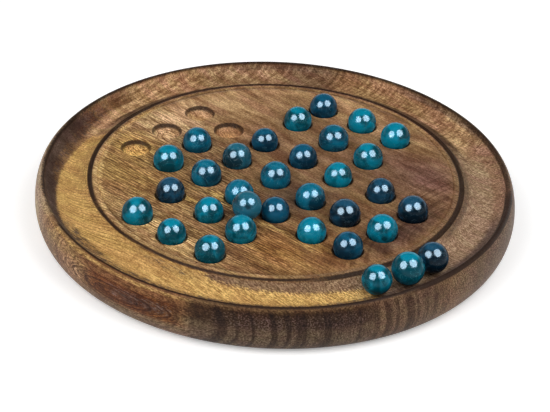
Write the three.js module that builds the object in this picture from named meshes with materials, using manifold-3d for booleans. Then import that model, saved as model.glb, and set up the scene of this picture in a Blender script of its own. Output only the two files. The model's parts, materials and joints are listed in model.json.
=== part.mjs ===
// Round marble solitaire board: one turned disc of hardwood with a cross of hollows, a groove round
// the playing field for captured marbles, and a set of polished stone marbles.
// Millimetres, +Z up. The origin is the centre of the base, on the axis that the disc was turned on.
// +X runs along the grain and the long rows, +Y towards the last row.

import * as THREE from 'three';
import * as BufferGeometryUtils from 'three/addons/utils/BufferGeometryUtils.js';
import Module from 'manifold-3d';

// Marbles: ground by hand, so each has its own share of the nominal diameter
const MARBLE_DIAMETER = 18.4;
const SEAT_GAP = 0.3;
const TOUCH_GAP = 0.3;

// Cross of hollows, drilled a little off the axis
const HOLE_PITCH = 29.6;
const PATTERN_SHIFT_X = 0.9;
const PATTERN_SHIFT_Y = -6;
const HOLLOW_MARGIN = 0.45;
const HOLLOW_DEPTH = 6.5;

// Playing field, with an incised line, a narrow bead and a scorched cut at its edge
const FIELD_HEIGHT = 31;
const FIELD_MARGIN = 1;
const LINE_WIDTH = 1.2;
const LINE_DEPTH = 0.6;
const BEAD_WIDTH = 2.8;
const CUT_WIDTH = 3.5;
const CUT_DEPTH = 1.4;

// Groove for captured marbles, with a gentle inner side and a steep outer wall
const GROOVE_DEPTH = 6.4;
const GROOVE_INNER_RUN = 13.2;
const GROOVE_OUTER_RUN = 14.2;
const GROOVE_EDGE_DROP = 0.8;
const GROOVE_SPACE = 2.8;
const FIRST_BEARING_DEGREES = -22.4;

// Rim: a rounded crest over a side that swells out and tucks in to the base
const CREST_RISE = 0.9;
const CREST_ROUND = 0.9;
const SIDE_SWELL = 4.7;
const SWELL_HEIGHT = 16.5;
const BASE_TUCK = 10.5;

// How far a cutter runs past the face that it cuts, and how near two corners are one
const CUT_OVERRUN = 2;
const MERGE_DISTANCE = 0.001;

// Counts
const BOARD_SIDES = 72;
const HOLLOW_SIDES = 16;
const HOLLOW_BANDS = 3;
const SIDE_BANDS = 4;
const GROOVE_BANDS = 4;
const CREST_BANDS = 2;
const CUT_BANDS = 3;
const MARBLE_DETAIL = 2;

// Columns are lettered along +X and rows numbered from 1 along +Y, as on a chessboard; each row of
// the cross names the columns that have a hollow
const COLUMN_NAMES = 'abcdefg';
const CROSS_ROWS = ['cde', 'cde', 'abcdefg', 'abcdefg', 'abcdefg', 'cde', 'cde'];
const EMPTY_HOLLOWS = ['a3', 'a4', 'a5', 'b5'];

// How far each hollow strays from the even grid, as shares of the pitch along X and Y
const HOLLOW_DRIFT_SHARES = {
  a3: [0.08, -0.04],
  a4: [0.06, -0.06],
  a5: [0.06, 0],
  b3: [0.04, -0.05],
  b4: [-0.06, -0.05],
  b5: [0, -0.1],
  c2: [-0.09, 0.08],
  c3: [0, 0.08],
  c4: [0, 0.05],
  c5: [-0.05, 0],
  c6: [-0.11, 0.16],
  c7: [-0.08, 0],
  d1: [0, -0.05],
  d2: [0, 0.07],
  d4: [0.1, 0.03],
  d5: [0, 0.04],
  d6: [0, 0.05],
  d7: [-0.05, 0.08],
  e2: [-0.03, -0.04],
  e3: [-0.04, 0.03],
  e4: [0.16, -0.09],
  e7: [-0.12, 0.08],
  f3: [0, -0.04],
  f4: [0.09, -0.09],
  f5: [0.05, 0.13],
  g3: [-0.11, 0.04],
};

// Each marble's diameter as a share of the nominal one; those left out have the nominal one
const MARBLE_SIZE_SHARES = {
  b3: 1.04,
  b4: 0.99,
  c1: 1.03,
  c2: 0.97,
  c3: 1.03,
  c4: 1.01,
  c5: 0.93,
  c6: 0.98,
  c7: 0.98,
  d1: 0.96,
  d2: 0.97,
  d3: 0.99,
  d4: 1.04,
  d5: 0.97,
  d6: 1.05,
  e1: 1.01,
  e2: 1.04,
  e3: 0.96,
  e4: 1.01,
  e5: 0.95,
  e6: 1.02,
  e7: 1.03,
  f3: 0.97,
  f4: 1.04,
  f5: 0.96,
  g3: 0.99,
  g4: 1.03,
  g5: 1.03,
};
const LOOSE_SIZE_SHARE = 0.98;
const GROOVE_SIZE_SHARES = [0.99, 1.09, 1.04];

// Stone tones of the marbles; those left out are teal
const MARBLE_TONES = {
  b4: 'blue',
  c2: 'ink',
  c3: 'blue',
  c4: 'slate',
  c5: 'navy',
  c7: 'navy',
  d3: 'blue',
  d4: 'blue',
  d5: 'navy',
  d6: 'blue',
  e3: 'navy',
  e4: 'blue',
  f4: 'ink',
  f5: 'ink',
  g3: 'navy',
  g5: 'ink',
};
const LOOSE_TONE = 'slate';
const GROOVE_TONES = ['teal', 'teal', 'ink'];

const marbleRadius = MARBLE_DIAMETER / 2;
const hollowRadius = marbleRadius + HOLLOW_MARGIN;

const wasm = await Module();
wasm.setup();

const wood = new THREE.MeshStandardMaterial({ color: 0x8a6240, roughness: 0.55, metalness: 0 });
const stone = {
  teal: new THREE.MeshStandardMaterial({ color: 0x0e6a78, roughness: 0.12, metalness: 0 }),
  blue: new THREE.MeshStandardMaterial({ color: 0x11566b, roughness: 0.12, metalness: 0 }),
  navy: new THREE.MeshStandardMaterial({ color: 0x123c54, roughness: 0.12, metalness: 0 }),
  ink: new THREE.MeshStandardMaterial({ color: 0x0c2533, roughness: 0.12, metalness: 0 }),
  slate: new THREE.MeshStandardMaterial({ color: 0x2b5561, roughness: 0.15, metalness: 0 }),
};

const board = new THREE.Group();

// Solids

// Joins the corners that coincide and drops the faces that have shrunk to a line.
function closedGeometry(geometry) {
  geometry.deleteAttribute('normal');
  geometry.deleteAttribute('uv');
  const merged = BufferGeometryUtils.mergeVertices(geometry, MERGE_DISTANCE);
  const corners = merged.index.array;
  const faces = [];
  for (let at = 0; at < corners.length; at += 3) {
    const [first, second, third] = corners.slice(at, at + 3);
    if (first !== second && second !== third && third !== first) {
      faces.push(first, second, third);
    }
  }
  merged.setIndex(faces);
  return merged;
}

// Turns an outline of [radius, height] pairs, from the lower end of the axis to the upper, round Z.
function turned(outline, sides) {
  const points = outline.map(([radius, height]) => new THREE.Vector2(radius, height));
  const geometry = new THREE.LatheGeometry(points, sides);
  geometry.rotateX(Math.PI / 2);
  return closedGeometry(geometry);
}

function toSolid(geometry) {
  const vertProperties = new Float32Array(geometry.getAttribute('position').array);
  const triVerts = new Uint32Array(geometry.index.array);
  return new wasm.Manifold(new wasm.Mesh({ numProp: 3, vertProperties, triVerts }));
}

function toGeometry(solid) {
  const { vertProperties, triVerts } = solid.getMesh();
  const geometry = new THREE.BufferGeometry();
  geometry.setAttribute('position', new THREE.BufferAttribute(vertProperties, 3));
  geometry.setIndex(new THREE.BufferAttribute(triVerts, 1));
  return geometry;
}

function addPiece(name, geometry, material, place) {
  geometry.computeVertexNormals();
  const mesh = new THREE.Mesh(geometry, material);
  mesh.name = name;
  mesh.position.set(place.x, place.y, place.z);
  board.add(mesh);
}

// Outlines

// Points on a quarter ellipse about [radius, height], between two angles given in quarter turns.
function quarterArc([radius, height], run, rise, fromQuarter, toQuarter, bands) {
  const points = [];
  for (let step = 0; step <= bands; step += 1) {
    const angle = (Math.PI / 2) * (fromQuarter + ((toQuarter - fromQuarter) * step) / bands);
    points.push([radius + run * Math.cos(angle), height + rise * Math.sin(angle)]);
  }
  return points;
}

// Points on the circle that is level at the bottom of a dish and passes the given run and rise.
function dishArc(run, rise, bands) {
  const radius = (run * run + rise * rise) / (2 * rise);
  const reach = Math.acos((radius - rise) / radius);
  const points = [];
  for (let step = 0; step <= bands; step += 1) {
    const angle = (reach * step) / bands;
    points.push([radius * Math.sin(angle), radius * (1 - Math.cos(angle))]);
  }
  return points;
}

// The cross of hollows

// The middle of a hollow, counted in columns and rows from the middle of the cross.
function hollowPlace(name, column, row) {
  const [driftX, driftY] = HOLLOW_DRIFT_SHARES[name] ?? [0, 0];
  return {
    x: PATTERN_SHIFT_X + (column + driftX) * HOLE_PITCH,
    y: PATTERN_SHIFT_Y + (row + driftY) * HOLE_PITCH,
  };
}

const hollows = {};
CROSS_ROWS.forEach((letters, index) => {
  for (const letter of letters) {
    const name = `${letter}${index + 1}`;
    const column = COLUMN_NAMES.indexOf(letter) - (COLUMN_NAMES.length - 1) / 2;
    const row = index - (CROSS_ROWS.length - 1) / 2;
    hollows[name] = hollowPlace(name, column, row);
  }
});

// Radii and heights of the turning, from the outermost hollow out to the rim
const farthestHollow = Math.max(...Object.values(hollows).map(({ x, y }) => Math.hypot(x, y)));
const lineInner = farthestHollow + hollowRadius + FIELD_MARGIN;
const lineOuter = lineInner + LINE_WIDTH;
const cutInner = lineOuter + BEAD_WIDTH;
const cutOuter = cutInner + CUT_WIDTH;
const grooveRadius = cutOuter + GROOVE_INNER_RUN;
const crestRadius = grooveRadius + GROOVE_OUTER_RUN;
const boardRadius = crestRadius + SIDE_SWELL;
const crestHeight = FIELD_HEIGHT + CREST_RISE;
const grooveHeight = FIELD_HEIGHT - GROOVE_DEPTH;
const grooveEdgeHeight = FIELD_HEIGHT - GROOVE_EDGE_DROP;

// The turned outline, from the middle of the base round the side, groove and field.
function boardOutline() {
  const base = [boardRadius - BASE_TUCK, SWELL_HEIGHT];
  const lowerSide = quarterArc(base, BASE_TUCK, SWELL_HEIGHT, -1, 0, SIDE_BANDS);
  const swell = [crestRadius, SWELL_HEIGHT];
  const upperSide = quarterArc(swell, SIDE_SWELL, crestHeight - SWELL_HEIGHT, 0, 1, SIDE_BANDS);
  const crestCentre = [crestRadius, crestHeight - CREST_ROUND];
  const crest = quarterArc(crestCentre, CREST_ROUND, CREST_ROUND, 1, 2, CREST_BANDS);
  const wallTop = [grooveRadius, crestHeight - CREST_ROUND];
  const wallRun = GROOVE_OUTER_RUN - CREST_ROUND;
  const wallRise = wallTop[1] - grooveHeight;
  const outerWall = quarterArc(wallTop, wallRun, wallRise, 0, -1, GROOVE_BANDS);
  const innerDish = dishArc(GROOVE_INNER_RUN, grooveEdgeHeight - grooveHeight, GROOVE_BANDS);
  const innerWall = innerDish.map(([run, rise]) => [grooveRadius - run, grooveHeight + rise]);
  const cut = [];
  for (let step = 1; step < CUT_BANDS; step += 1) {
    const share = step / CUT_BANDS;
    const top = grooveEdgeHeight + GROOVE_EDGE_DROP * share;
    cut.push([cutOuter - CUT_WIDTH * share, top - CUT_DEPTH * Math.sin(Math.PI * share)]);
  }
  return [
    [0, 0],
    ...lowerSide,
    ...upperSide.slice(1),
    ...crest.slice(1),
    ...outerWall.slice(1),
    ...innerWall.slice(1),
    ...cut,
    [cutInner, FIELD_HEIGHT],
    [lineOuter, FIELD_HEIGHT],
    [lineInner + LINE_WIDTH / 2, FIELD_HEIGHT - LINE_DEPTH],
    [lineInner, FIELD_HEIGHT],
    [0, FIELD_HEIGHT],
  ];
}

// One round-bottomed hollow, as the shape that the drill takes away.
function hollowCutter() {
  const dish = dishArc(hollowRadius, HOLLOW_DEPTH, HOLLOW_BANDS);
  const outline = [
    ...dish.map(([run, rise]) => [run, rise - HOLLOW_DEPTH]),
    [hollowRadius, CUT_OVERRUN],
    [0, CUT_OVERRUN],
  ];
  return turned(outline, HOLLOW_SIDES);
}

function drilledBoard() {
  const cutter = hollowCutter();
  let solid = toSolid(turned(boardOutline(), BOARD_SIDES));
  for (const { x, y } of Object.values(hollows)) {
    solid = solid.subtract(toSolid(cutter.clone().translate(x, y, FIELD_HEIGHT)));
  }
  return toGeometry(solid);
}

// Marbles

// A ball with a corner straight down, so that it stands on its seat.
function ballGeometry(radius) {
  const geometry = new THREE.IcosahedronGeometry(radius, MARBLE_DETAIL);
  const goldenRatio = (1 + Math.sqrt(5)) / 2;
  geometry.rotateX(Math.atan(1 / goldenRatio));
  return closedGeometry(geometry);
}

// A ball with its lowest point one seat gap above the floor that it rests on.
function addMarble(name, sizeShare, tone, { x, y }, floorHeight) {
  const radius = marbleRadius * sizeShare;
  addPiece(name, ballGeometry(radius), stone[tone], { x, y, z: floorHeight + SEAT_GAP + radius });
}

function addSeatedMarbles() {
  for (const [name, place] of Object.entries(hollows)) {
    if (!EMPTY_HOLLOWS.includes(name)) {
      const share = MARBLE_SIZE_SHARES[name] ?? 1;
      const tone = MARBLE_TONES[name] ?? 'teal';
      addMarble(`marble_${name}`, share, tone, place, FIELD_HEIGHT - HOLLOW_DEPTH);
    }
  }
}

// The marble in hand stands on the flat, against the two seated marbles on its +X side.
function addLooseMarble() {
  const upper = hollows.e3;
  const lower = hollows.e2;
  const upperReach = marbleRadius * (MARBLE_SIZE_SHARES.e3 + LOOSE_SIZE_SHARE) + TOUCH_GAP;
  const lowerReach = marbleRadius * (MARBLE_SIZE_SHARES.e2 + LOOSE_SIZE_SHARE) + TOUCH_GAP;
  const span = Math.hypot(lower.x - upper.x, lower.y - upper.y);
  const alongX = (lower.x - upper.x) / span;
  const alongY = (lower.y - upper.y) / span;
  const along = (span * span + upperReach * upperReach - lowerReach * lowerReach) / (2 * span);
  const aside = Math.sqrt(Math.max(upperReach * upperReach - along * along, 0));
  const place = {
    x: upper.x + along * alongX + aside * alongY,
    y: upper.y + along * alongY - aside * alongX,
  };
  addMarble('loose_marble', LOOSE_SIZE_SHARE, LOOSE_TONE, place, FIELD_HEIGHT);
}

// Captured marbles lie along the groove: a short space after the first, then two that touch.
function addGrooveMarbles() {
  const spaces = [GROOVE_SPACE, TOUCH_GAP];
  let bearing = THREE.MathUtils.degToRad(FIRST_BEARING_DEGREES);
  GROOVE_SIZE_SHARES.forEach((share, index) => {
    if (index > 0) {
      const reach = marbleRadius * (GROOVE_SIZE_SHARES[index - 1] + share) + spaces[index - 1];
      bearing += 2 * Math.asin(reach / (2 * grooveRadius));
    }
    const place = { x: grooveRadius * Math.cos(bearing), y: grooveRadius * Math.sin(bearing) };
    addMarble(`groove_marble_${index + 1}`, share, GROOVE_TONES[index], place, grooveHeight);
  });
}

addPiece('board', drilledBoard(), wood, { x: 0, y: 0, z: 0 });
addSeatedMarbles();
addLooseMarble();
addGrooveMarbles();

export default board;
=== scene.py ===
"""Looks of a marble solitaire board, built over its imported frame.

All places are metres in the frame's own axes: the base stands at z = 0 on the axis that the board
was turned on, +X runs along the grain and the long rows, and +Y towards the last row. Sizes are
written in millimetres and bearings in degrees, counted from +X towards +Y.
"""

import json
import logging
import math
from dataclasses import dataclass, field
from enum import Enum

import bmesh
import bpy
import numpy as np
from bpy.types import Collection, Material, Mesh, Node, NodeSocket, NodeTree, Object
from mathutils import Matrix, Vector
from mathutils.geometry import delaunay_2d_cdt


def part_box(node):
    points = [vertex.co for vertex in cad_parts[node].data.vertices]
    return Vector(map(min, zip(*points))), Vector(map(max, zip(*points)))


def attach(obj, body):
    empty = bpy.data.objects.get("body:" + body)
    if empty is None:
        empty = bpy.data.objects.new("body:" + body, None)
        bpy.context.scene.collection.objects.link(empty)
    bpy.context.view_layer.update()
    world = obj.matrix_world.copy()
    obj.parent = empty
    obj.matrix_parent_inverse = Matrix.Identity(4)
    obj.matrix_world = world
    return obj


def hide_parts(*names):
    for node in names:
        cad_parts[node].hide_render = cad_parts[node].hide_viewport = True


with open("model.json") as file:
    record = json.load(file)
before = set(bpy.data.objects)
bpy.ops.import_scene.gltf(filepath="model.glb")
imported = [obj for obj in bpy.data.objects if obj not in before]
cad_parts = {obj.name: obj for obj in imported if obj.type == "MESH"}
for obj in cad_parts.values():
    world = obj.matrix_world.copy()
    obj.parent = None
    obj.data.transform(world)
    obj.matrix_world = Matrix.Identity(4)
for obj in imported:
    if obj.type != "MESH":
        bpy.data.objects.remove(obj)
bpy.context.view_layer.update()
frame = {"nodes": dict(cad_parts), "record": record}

# Corners that lie closer than this many millimetres are made one
MERGE_DISTANCE = 0.004

log = logging.getLogger("solitaire_board")


# Small helpers


def mm(value: float) -> float:
    """Turns millimetres into metres."""
    return value * 0.001


def per_mm(along: float, across: float, upright: float) -> tuple[float, float, float]:
    """Gives the scale that makes one noise cell this many millimetres long in X, Y and Z."""
    return 1.0 / mm(along), 1.0 / mm(across), 1.0 / mm(upright)


def linear(hex_code: str) -> tuple[float, float, float, float]:
    """Turns an sRGB hex colour into linear RGBA.

    Args:
        hex_code: a colour such as "#8a6240".

    Returns:
        The colour as Blender's sockets take it, fully opaque.
    """
    shares = np.array([int(hex_code[at:at + 2], 16) for at in (1, 3, 5)]) / 255.0
    dark = shares / 12.92
    bright = ((shares + 0.055) / 1.055) ** 2.4
    red, green, blue = np.where(shares <= 0.04045, dark, bright)
    return float(red), float(green), float(blue), 1.0


def ease(values: np.ndarray, low: float, high: float) -> np.ndarray:
    """Rises smoothly from 0 at low to 1 at high, as t * t * (3 - 2 t)."""
    share = np.clip((values - low) / (high - low), 0.0, 1.0)
    return share * share * (3.0 - 2.0 * share)


def window(values: np.ndarray, low: float, high: float, soft: float) -> np.ndarray:
    """Is 1 between low and high and falls to 0 over a soft edge centred on each."""
    half = 0.5 * soft
    return ease(values, low - half, low + half) * (1.0 - ease(values, high - half, high + half))


def add_node(
    tree: NodeTree,
    kind: str,
    settings: dict[str, object] | None = None,
    inputs: dict[str | int, object] | None = None,
) -> Node:
    """Adds a node, sets its properties and fills or links its inputs.

    A Mix node's sockets go by number, because their names repeat: inputs 0, 6 and 7 and output 2
    for colours, inputs 0, 2 and 3 and output 0 for numbers.

    Args:
        tree: the tree that takes the node.
        kind: the node's type, such as "ShaderNodeMath".
        settings: values by property name.
        inputs: by input name or number, a constant or an output socket to link from.

    Returns:
        The new node.
    """
    node = tree.nodes.new(kind)
    for name, value in (settings or {}).items():
        setattr(node, name, value)
    for key, value in (inputs or {}).items():
        if isinstance(value, NodeSocket):
            tree.links.new(value, node.inputs[key])
        else:
            node.inputs[key].default_value = value
    return node


def gained(
    tree: NodeTree,
    amount: NodeSocket,
    share: NodeSocket,
    dark: tuple[float, float, float],
    light: tuple[float, float, float],
    colour: NodeSocket,
) -> NodeSocket:
    """Multiplies a colour by a gain that runs from dark to light.

    Args:
        tree: the material's nodes.
        amount: how much of the gain is laid on.
        share: where the gain stands between dark, 0, and light, 1.
        dark: the gains of red, green and blue at 0.
        light: the gains at 1.
        colour: the colour so far.

    Returns:
        The changed colour.
    """
    gain = add_node(
        tree, "ShaderNodeMix", {"data_type": "RGBA"}, {0: share, 6: (*dark, 1.0), 7: (*light, 1.0)}
    ).outputs[2]
    return add_node(
        tree, "ShaderNodeMix", {"data_type": "RGBA", "blend_type": "MULTIPLY"},
        {0: amount, 6: colour, 7: gain},
    ).outputs[2]


def empty_material(name: str) -> tuple[Material, NodeTree]:
    """Makes a material with an empty node tree, and gives both."""
    material = bpy.data.materials.new(name)
    material.use_nodes = True
    material.node_tree.nodes.clear()
    return material, material.node_tree


# Meshes


def ellipse_arc(
    middle: tuple[float, float], reach: tuple[float, float], start: float, end: float, count: int
) -> np.ndarray:
    """Gives points on part of an ellipse, (r + a cos t, z + b sin t).

    Args:
        middle: the radius and height of its middle, r and z.
        reach: its half axes, a and b.
        start: the first t, in quarters of a turn.
        end: the last t, in quarters of a turn.
        count: how many points.

    Returns:
        Radius and height at each point.
    """
    turn = np.linspace(start, end, count) * np.pi / 2
    return np.stack(
        [middle[0] + reach[0] * np.cos(turn), middle[1] + reach[1] * np.sin(turn)], axis=1
    )


def lathe_grid(outline: np.ndarray, sides: int) -> tuple[np.ndarray, np.ndarray]:
    """Turns an outline round the Z axis.

    The point at step i and turn a is (r_i cos a, r_i sin a, z_i).

    Args:
        outline: an array of radius and height, walked so that the solid lies on the left hand.
        sides: how many points go round.

    Returns:
        The points, and triangles that face outwards.
    """
    turn = np.linspace(0.0, 2.0 * np.pi, sides, endpoint=False)
    radius, height = outline[:, 0, None], outline[:, 1, None]
    level = np.broadcast_to(height, (len(outline), sides))
    points = np.stack([radius * np.cos(turn), radius * np.sin(turn), level], axis=-1)
    step, side = np.meshgrid(np.arange(len(outline) - 1), np.arange(sides), indexing="ij")
    near = step * sides + side
    beside = step * sides + (side + 1) % sides
    quads = np.stack([near, beside, beside + sides, near + sides], axis=-1).reshape(-1, 4)
    return points.reshape(-1, 3), np.concatenate([quads[:, [0, 1, 2]], quads[:, [0, 2, 3]]])


def joined(parts: list[tuple[np.ndarray, np.ndarray]]) -> tuple[np.ndarray, np.ndarray]:
    """Puts several pairs of points and triangles into one pair, in order."""
    starts = np.cumsum([0] + [len(points) for points, _ in parts[:-1]])
    triangles = [faces + start for (_, faces), start in zip(parts, starts)]
    return np.concatenate([points for points, _ in parts]), np.concatenate(triangles)


def closed_mesh(name: str, points: np.ndarray, triangles: np.ndarray) -> Mesh:
    """Makes a smooth mesh whose seams and poles are closed.

    Args:
        name: the mesh's name.
        points: places in metres.
        triangles: corner numbers, facing outwards.

    Returns:
        The mesh, with coinciding corners made one.
    """
    mesh = bpy.data.meshes.new(name)
    mesh.from_pydata(points, [], triangles)
    work = bmesh.new()
    work.from_mesh(mesh)
    bmesh.ops.remove_doubles(work, verts=work.verts, dist=mm(MERGE_DISTANCE))
    work.to_mesh(mesh)
    work.free()
    mesh.shade_smooth()
    return mesh


def mesh_points(mesh: Mesh) -> np.ndarray:
    """Reads a mesh's points as an array of three columns."""
    flat = np.empty(len(mesh.vertices) * 3, np.float32)
    mesh.vertices.foreach_get("co", flat)
    return flat.reshape(-1, 3).astype(float)


def paint_share(mesh: Mesh, name: str, shares: np.ndarray) -> None:
    """Stores one share from 0 to 1 at each point, for the finish to read by name."""
    layer = mesh.attributes.new(name, "FLOAT", "POINT")
    layer.data.foreach_set("value", np.clip(shares, 0.0, 1.0).astype(np.float32))


def paint_colour(mesh: Mesh, name: str, colours: np.ndarray) -> None:
    """Stores one linear colour at each point, for the finish to read by name."""
    layer = mesh.attributes.new(name, "FLOAT_COLOR", "POINT")
    opaque = np.concatenate([colours, np.ones((len(colours), 1))], axis=1)
    layer.data.foreach_set("color", opaque.astype(np.float32).ravel())


def placed_piece(name: str, mesh: Mesh, material: Material) -> Object:
    """Shows a mesh as an object at the origin, in one material."""
    mesh.materials.append(material)
    piece = bpy.data.objects.new(name, mesh)
    bpy.context.scene.collection.objects.link(piece)
    return piece


# Wood


@dataclass(frozen=True)
class Patch:
    """A soft-edged patch on the turning, between two bearings and two runs.

    A run is the way over the surface from the axis: the radius on top, and past the crest the
    crest's radius plus the drop below the crest's top, plus the way in over the base. An inner or
    outer run that is a pair changes evenly from the first bearing to the second.
    """

    start: float
    end: float
    inner: float | tuple[float, float]
    outer: float | tuple[float, float]
    soft_degrees: float
    soft_run: float
    strength: float
    colour: str = "#000000"

    def share(self, bearing: np.ndarray, run: np.ndarray) -> np.ndarray:
        """Gives the patch's share at each point.

        Args:
            bearing: degrees from +X towards +Y, from 0 to 360.
            run: millimetres over the surface from the axis.

        Returns:
            The product of a window in bearing and one in run, times the strength.
        """
        span = (self.end - self.start) % 360.0 or 360.0
        ahead = (bearing - self.start + 180.0 - 0.5 * span) % 360.0 - 180.0 + 0.5 * span
        along = np.clip(ahead / span, 0.0, 1.0)
        ends = (np.broadcast_to(edge, 2) for edge in (self.inner, self.outer))
        inner, outer = (first + (last - first) * along for first, last in ends)
        turned = window(ahead, 0.0, span, self.soft_degrees) if span < 360.0 else 1.0
        half = 0.5 * self.soft_run
        crossed = ease(run - inner, -half, half) * (1.0 - ease(run - outer, -half, half))
        return self.strength * turned * crossed


@dataclass(frozen=True)
class Bloom:
    """A soft oval of colour on the flat of the playing field, as exp(-d^2) about its middle."""

    middle: tuple[float, float]
    reach: tuple[float, float]
    strength: float
    colour: str = "#000000"
    turn: float = 0.0

    def share(self, x: np.ndarray, y: np.ndarray) -> np.ndarray:
        """Gives the oval's share at each point, with d in units of its two reaches.

        Args:
            x: millimetres along +X.
            y: millimetres along +Y.

        Returns:
            The bell-shaped share times the strength.
        """
        cosine, sine = math.cos(math.radians(self.turn)), math.sin(math.radians(self.turn))
        across = ((x - self.middle[0]) * cosine + (y - self.middle[1]) * sine) / self.reach[0]
        along = ((y - self.middle[1]) * cosine - (x - self.middle[0]) * sine) / self.reach[1]
        return self.strength * np.exp(-(across**2) - along**2)


@dataclass(frozen=True)
class FigureLayer:
    """A layer of the wood's figure: noise that darkens and lightens the wood in turn.

    Its cells have real sizes in millimetres along X, Y and Z. Long cells along X make lines and
    fibres on the flat and dots on end grain, as in a solid block. The part of the noise between low
    and high is spread over the way from the dark gain to the light gain, which together keep the
    wood's mean tone.
    """

    cell: tuple[float, float, float]
    detail: float
    low: float
    high: float
    dark: tuple[float, float, float]
    light: tuple[float, float, float]
    where: str
    roughness: float = 0.6

    def pattern(self, tree: NodeTree, place: NodeSocket) -> NodeSocket:
        """Adds the layer's noise at a place in metres, about a half on average."""
        scaled = add_node(
            tree, "ShaderNodeVectorMath", {"operation": "MULTIPLY"},
            {0: place, 1: per_mm(*self.cell)},
        ).outputs[0]
        return add_node(
            tree, "ShaderNodeTexNoise", {"noise_dimensions": "3D"},
            {"Vector": scaled, "Scale": 1.0, "Detail": self.detail, "Roughness": self.roughness},
        ).outputs[0]

    def share(self, tree: NodeTree, place: NodeSocket) -> NodeSocket:
        """Spreads the pattern between low and high over 0, dark, to 1, light."""
        return add_node(
            tree, "ShaderNodeMapRange", {"interpolation_type": "SMOOTHSTEP"},
            {"Value": self.pattern(tree, place), "From Min": self.low, "From Max": self.high},
        ).outputs[0]

    def lay(self, tree: NodeTree, share: NodeSocket, colour: NodeSocket) -> NodeSocket:
        """Lays the layer's share over a colour, as strongly as painted for it."""
        painted = add_node(tree, "ShaderNodeAttribute", {"attribute_name": self.where})
        return gained(tree, painted.outputs["Fac"], share, self.dark, self.light, colour)


@dataclass(frozen=True)
class HairLines(FigureLayer):
    """Fine growth lines along X, evenly spaced but for a drift.

    The pattern is a sine of y plus drift times the noise, one turn for each pitch.
    """

    pitch: float = 1.9
    drift: float = 5.0

    def pattern(self, tree: NodeTree, place: NodeSocket) -> NodeSocket:
        """Adds the lines.

        Args:
            tree: the material's nodes.
            place: the place to read the lines at, in metres.

        Returns:
            The sine, from -1 to 1.
        """
        noise = super().pattern(tree, place)
        across = add_node(tree, "ShaderNodeSeparateXYZ", None, {0: place}).outputs["Y"]
        drifted = add_node(
            tree, "ShaderNodeMath", {"operation": "MULTIPLY_ADD"},
            {0: noise, 1: mm(self.drift), 2: across},
        ).outputs[0]
        turns = add_node(
            tree, "ShaderNodeMath", {"operation": "MULTIPLY"},
            {0: drifted, 1: math.tau / mm(self.pitch)},
        ).outputs[0]
        return add_node(tree, "ShaderNodeMath", {"operation": "SINE"}, {0: turns}).outputs[0]


@dataclass(frozen=True)
class RingLayer:
    """Growth rings cut nearly flat by the lathe, seen as flattened ovals round one point.

    With d the distance from the middle in units of the reach, the rings are noise along d, of which
    the part between low and high is spread over the way from dark to light. They fade out between
    d = 1 and d = 1 + fade, and are as strong as the share painted for them.
    """

    where: str
    middle: tuple[float, float, float]
    reach: tuple[float, float, float]
    rings: float
    fade: float
    dark: tuple[float, float, float]
    light: tuple[float, float, float]
    detail: float = 2.5
    roughness: float = 0.65
    low: float = 0.36
    high: float = 0.6

    def build(self, tree: NodeTree, place: NodeSocket, colour: NodeSocket) -> NodeSocket:
        """Lays the rings over a colour.

        Args:
            tree: the material's nodes.
            place: the place to measure from, in metres.
            colour: the colour so far.

        Returns:
            The changed colour.
        """
        middle = tuple(mm(length) for length in self.middle)
        away = add_node(
            tree, "ShaderNodeVectorMath", {"operation": "SUBTRACT"}, {0: place, 1: middle}
        ).outputs[0]
        units = add_node(
            tree, "ShaderNodeVectorMath", {"operation": "MULTIPLY"},
            {0: away, 1: per_mm(*self.reach)},
        ).outputs[0]
        distance = add_node(
            tree, "ShaderNodeVectorMath", {"operation": "LENGTH"}, {0: units}
        ).outputs["Value"]
        noise = add_node(
            tree, "ShaderNodeTexNoise", {"noise_dimensions": "1D"},
            {
                "W": distance,
                "Scale": self.rings,
                "Detail": self.detail,
                "Roughness": self.roughness,
            },
        ).outputs[0]
        share = add_node(
            tree, "ShaderNodeMapRange", {"interpolation_type": "SMOOTHSTEP"},
            {"Value": noise, "From Min": self.low, "From Max": self.high},
        ).outputs[0]
        painted = add_node(tree, "ShaderNodeAttribute", {"attribute_name": self.where})
        amount = add_node(
            tree, "ShaderNodeMapRange", {"interpolation_type": "SMOOTHSTEP"},
            {
                "Value": distance,
                "From Min": 1.0 + self.fade,
                "From Max": 1.0,
                "To Max": painted.outputs["Fac"],
            },
        ).outputs[0]
        return gained(tree, amount, share, self.dark, self.light, colour)


@dataclass(frozen=True)
class RegionCoat:
    """A region of another colour, such as sapwood or a scorched cut, its edge torn by the fibres.

    The painted share plus a part of the fibres' share is spread between low and high over 0 to 1.
    """

    where: str
    colour: str
    ragged: float
    low: float
    high: float
    cover: float

    def build(self, tree: NodeTree, fibres: NodeSocket, colour: NodeSocket) -> NodeSocket:
        """Lays the region over a colour.

        Args:
            tree: the material's nodes.
            fibres: the fibres' share, which tears the edge.
            colour: the colour so far.

        Returns:
            The changed colour.
        """
        painted = add_node(tree, "ShaderNodeAttribute", {"attribute_name": self.where})
        torn = add_node(
            tree, "ShaderNodeMath", {"operation": "MULTIPLY_ADD"},
            {0: fibres, 1: self.ragged, 2: painted.outputs["Fac"]},
        ).outputs[0]
        # The fibres' share is a half on average, so both ends rise by half of the raggedness
        added = 0.5 * self.ragged
        share = add_node(
            tree, "ShaderNodeMapRange", {"interpolation_type": "SMOOTHSTEP"},
            {
                "Value": torn,
                "From Min": self.low + added,
                "From Max": self.high + added,
                "To Max": self.cover,
            },
        ).outputs[0]
        return add_node(
            tree, "ShaderNodeMix", {"data_type": "RGBA"},
            {0: share, 6: colour, 7: linear(self.colour)},
        ).outputs[2]


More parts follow.
